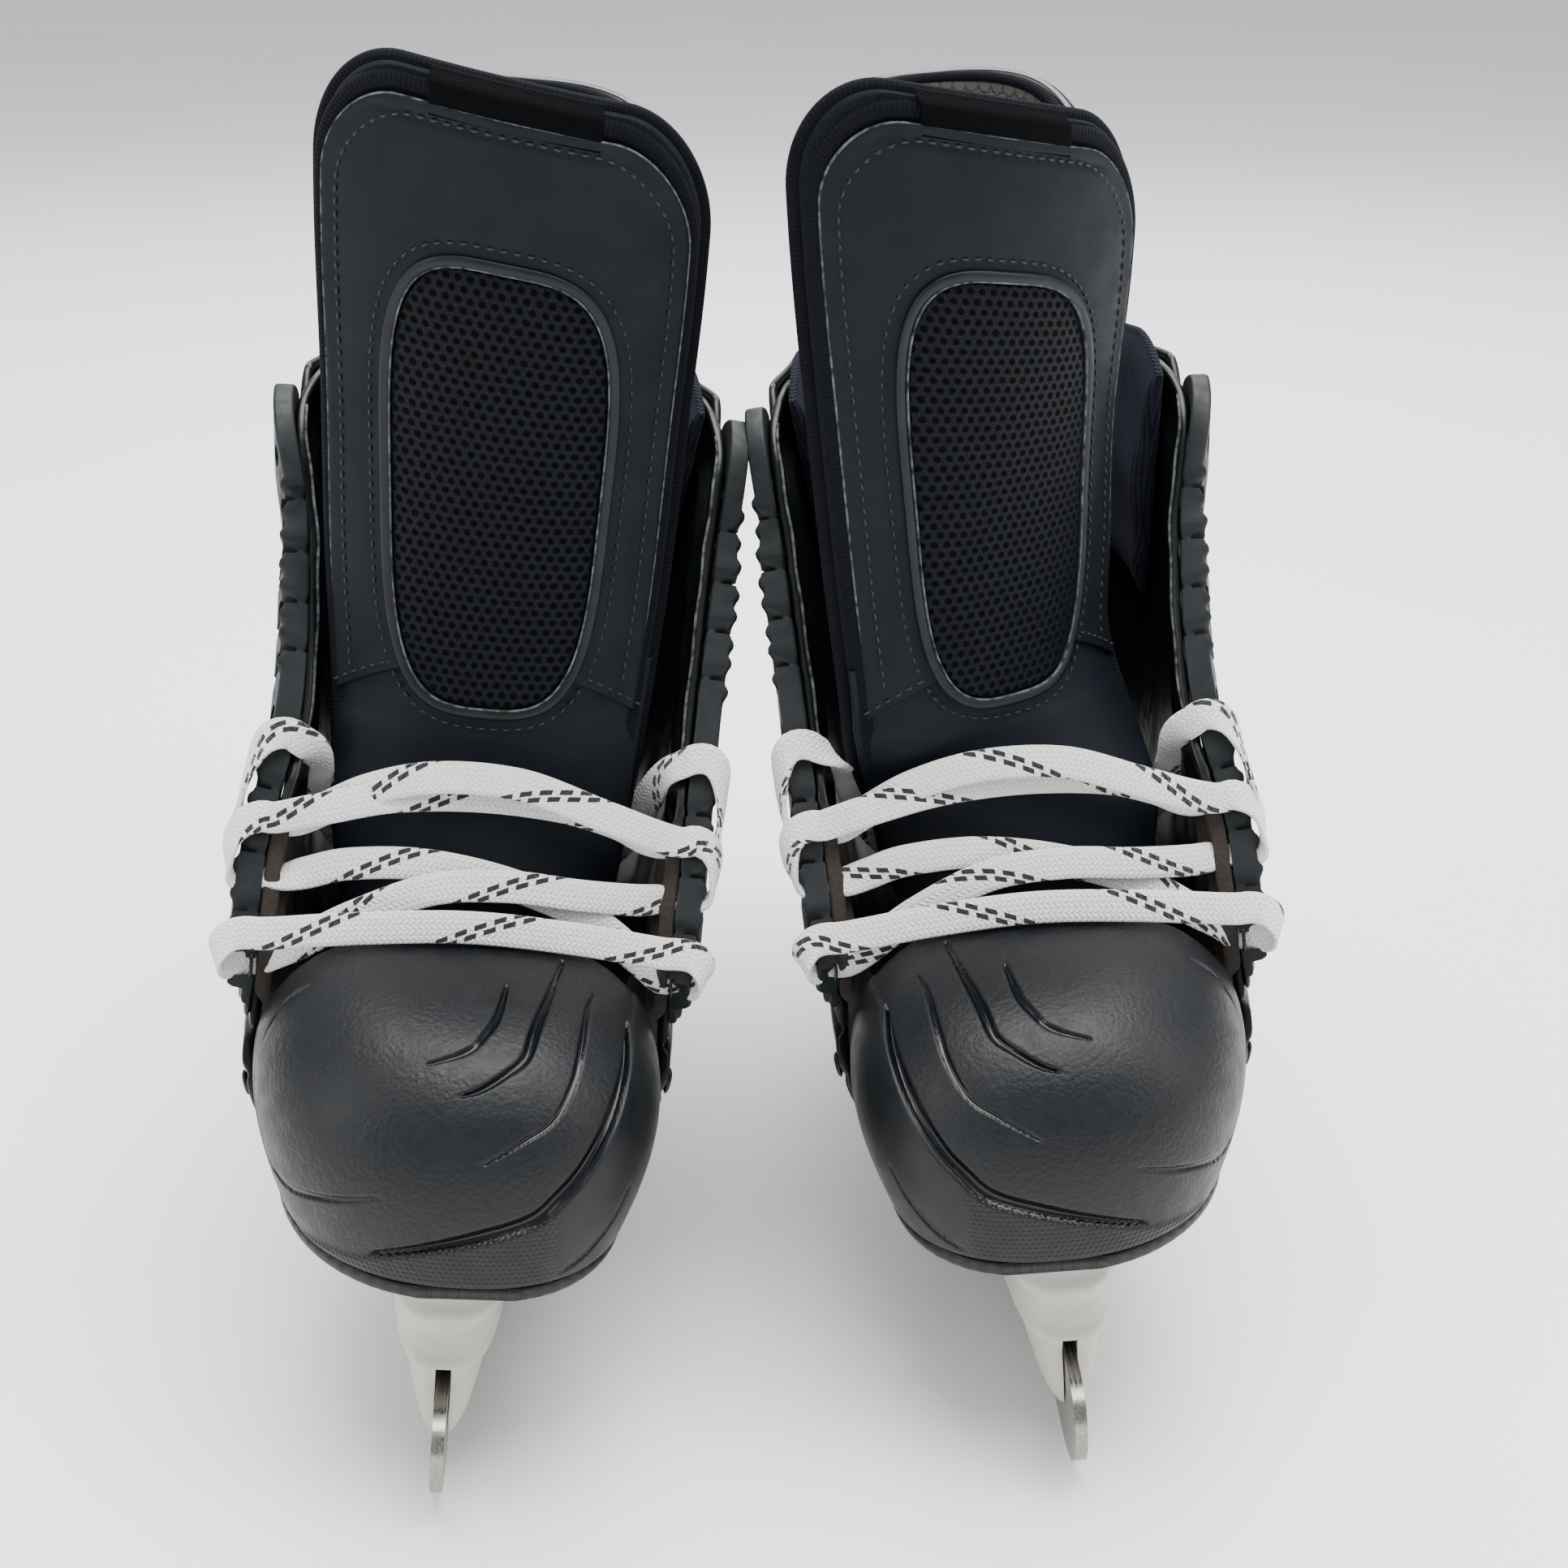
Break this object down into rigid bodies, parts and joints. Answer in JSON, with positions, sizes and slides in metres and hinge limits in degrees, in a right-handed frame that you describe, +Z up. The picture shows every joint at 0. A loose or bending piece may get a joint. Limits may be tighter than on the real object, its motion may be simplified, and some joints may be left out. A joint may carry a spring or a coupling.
{
  "type": "ice hockey skates",
  "caption": "Pair of ice hockey skates with lace-up boots, foldable padded tongues, flexing tendon guards, plastic blade holders and removable steel runners.",
  "frame": {"origin": "on the ice under the middle of the pair, at the middle of the bounding box's bottom face", "axes": "+Z up, +Y from toes to heels, +X from the right skate to the left skate"},
  "size_m": [0.2616, 0.29, 0.3247],
  "materials": {
    "shell": "satin black composite",
    "lining": "brushed suede microfibre",
    "knit": "padded knit",
    "cap": "fine leather-grain moulding",
    "sole": "moulded",
    "foam": "cloth-covered foam",
    "eyestay": "satin moulded",
    "leather": "matte synthetic leather",
    "felt": "napped felt",
    "mesh": "open spacer mesh",
    "label": "woven",
    "guard": "gloss",
    "holder": "milky white",
    "steel": "ground",
    "trigger": "moulded",
    "lace": "flat woven cotton"
  },
  "bodies": {
    "right_boot": {"right_quarter_shell": "shell", "right_liner": "lining", "right_ankle_collar": "knit", "right_toe_cap": "cap", "right_outsole": "sole", "right_midsole": "sole", "right_footbed": "foam", "right_eyestay_inner": "eyestay", "right_eyestay_outer": "eyestay", "right_tongue_lower": "leather", "right_holder": "holder", "right_hook_pin": "steel", "right_trigger_pin": "steel", "right_holder_rivet_1": "steel", "right_holder_rivet_2": "steel", "right_holder_rivet_3": "steel", "right_holder_rivet_4": "steel", "right_lace": "lace", "right_lace_hank": "lace"},
    "right_upper_tongue": {"right_tongue_felt": "felt", "right_tongue_face": "leather", "right_tongue_mesh_pad": "mesh", "right_tongue_label": "label"},
    "right_tendon_guard_body": {"right_tendon_guard": "guard", "right_tendon_guard_lining": "lining"},
    "right_trigger_body": {"right_trigger": "trigger"},
    "right_runner_body": {"right_runner": "steel"},
    "left_boot": {"left_quarter_shell": "shell", "left_liner": "lining", "left_ankle_collar": "knit", "left_toe_cap": "cap", "left_outsole": "sole", "left_midsole": "sole", "left_footbed": "foam", "left_eyestay_inner": "eyestay", "left_eyestay_outer": "eyestay", "left_tongue_lower": "leather", "left_holder": "holder", "left_hook_pin": "steel", "left_trigger_pin": "steel", "left_holder_rivet_1": "steel", "left_holder_rivet_2": "steel", "left_holder_rivet_3": "steel", "left_holder_rivet_4": "steel", "left_lace": "lace", "left_lace_hank": "lace"},
    "left_upper_tongue": {"left_tongue_felt": "felt", "left_tongue_face": "leather", "left_tongue_mesh_pad": "mesh", "left_tongue_label": "label"},
    "left_tendon_guard_body": {"left_tendon_guard": "guard", "left_tendon_guard_lining": "lining"},
    "left_trigger_body": {"left_trigger": "trigger"},
    "left_runner_body": {"left_runner": "steel"}
  },
  "joints": [
    {"name": "pair_separate", "type": "slide", "parent": "right_boot", "child": "left_boot", "axis": [1, 0, 0], "range_m": [0, 0.15]},
    {"name": "right_tongue_fold", "type": "hinge", "parent": "right_boot", "child": "right_upper_tongue", "pos_m": [-0.06382, -0.04627, 0.1772], "axis": [0.993, -0.0549, -0.1043], "range_deg": [-4, 50]},
    {"name": "right_tendon_guard_flex", "type": "hinge", "parent": "right_boot", "child": "right_tendon_guard_body", "pos_m": [-0.05881, 0.12082, 0.24521], "axis": [-0.9944, -0.0139, 0.1045], "range_deg": [0, 15], "stiffness_Nm_per_rad": 6},
    {"name": "right_trigger_pull", "type": "hinge", "parent": "right_boot", "child": "right_trigger_body", "pos_m": [-0.07848, 0.07454, 0.05187], "axis": [-0.9944, -0.0139, 0.1045], "range_deg": [0, 20], "stiffness_Nm_per_rad": 0.05},
    {"name": "right_runner_release", "type": "hinge", "parent": "right_boot", "child": "right_runner_body", "pos_m": [-0.07779, -0.08747, 0.03695], "axis": [-0.9944, -0.0139, 0.1045], "range_deg": [0, 3]},
    {"name": "left_tongue_fold", "type": "hinge", "parent": "left_boot", "child": "left_upper_tongue", "pos_m": [0.06631, -0.04596, 0.17766], "axis": [0.8874, 0.457, 0.0607], "range_deg": [-4, 50]},
    {"name": "left_tendon_guard_flex", "type": "hinge", "parent": "left_boot", "child": "left_tendon_guard_body", "pos_m": [0.06874, 0.12109, 0.2459], "axis": [-0.9967, 0.0418, -0.0698], "range_deg": [0, 15], "stiffness_Nm_per_rad": 6},
    {"name": "left_trigger_pull", "type": "hinge", "parent": "left_boot", "child": "left_trigger_body", "pos_m": [0.08036, 0.07456, 0.05198], "axis": [-0.9967, 0.0418, -0.0698], "range_deg": [0, 20], "stiffness_Nm_per_rad": 0.05},
    {"name": "left_runner_release", "type": "hinge", "parent": "left_boot", "child": "left_runner_body", "pos_m": [0.07462, -0.08734, 0.03701], "axis": [-0.9967, 0.0418, -0.0698], "range_deg": [0, 3]}
  ]
}
